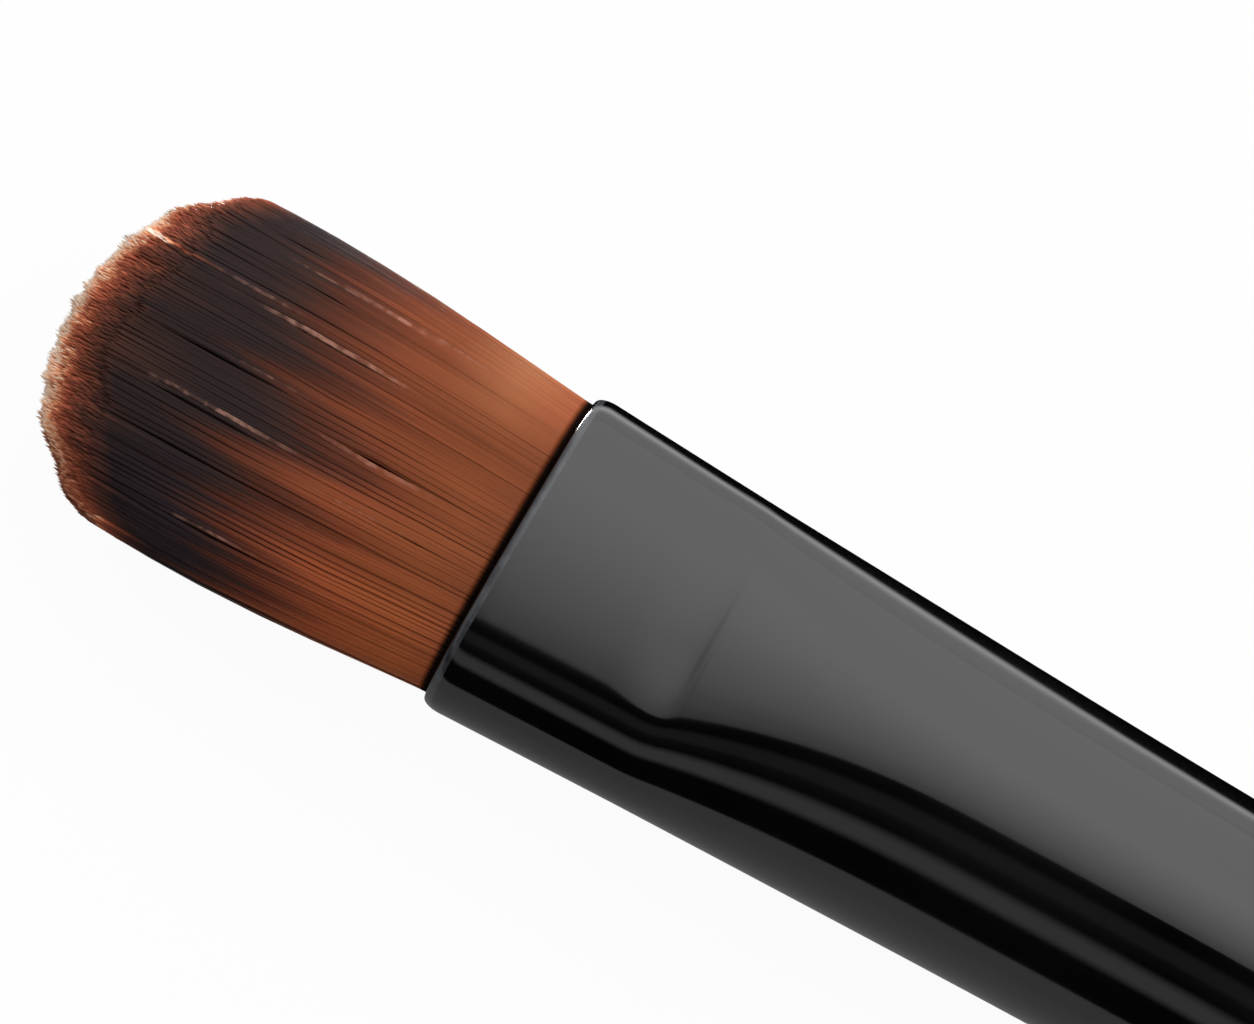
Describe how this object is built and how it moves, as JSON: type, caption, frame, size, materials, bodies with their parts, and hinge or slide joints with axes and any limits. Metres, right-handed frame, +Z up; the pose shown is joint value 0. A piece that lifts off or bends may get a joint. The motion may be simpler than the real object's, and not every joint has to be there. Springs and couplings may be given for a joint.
{
  "type": "eyeshadow brush",
  "caption": "Slim flat eyeshadow brush: a rounded tuft of synthetic filaments in a glossy black ferrule pressed oval at its mouth, on a turned black handle.",
  "frame": {"origin": "on the surface that the grip rests on, under the middle of the brush's length", "axes": "+X along the brush from the tip of its bristles to the end of its handle, +Z up, square to the flat of the tuft, and +Y across the flat of the tuft"},
  "size_m": [0.1599, 0.0096, 0.0092],
  "materials": {
    "filament": "satin",
    "thread": "matte",
    "adhesive": "gloss",
    "lacquered_metal": "gloss",
    "lacquered_wood": "gloss"
  },
  "bodies": {
    "root": {"bristle_tuft": "filament", "root_bundle": "filament", "binding_thread": "thread", "epoxy_plug": "adhesive", "ferrule": "lacquered_metal", "tenon_adhesive": "adhesive", "handle": "lacquered_wood"}
  },
  "joints": []
}
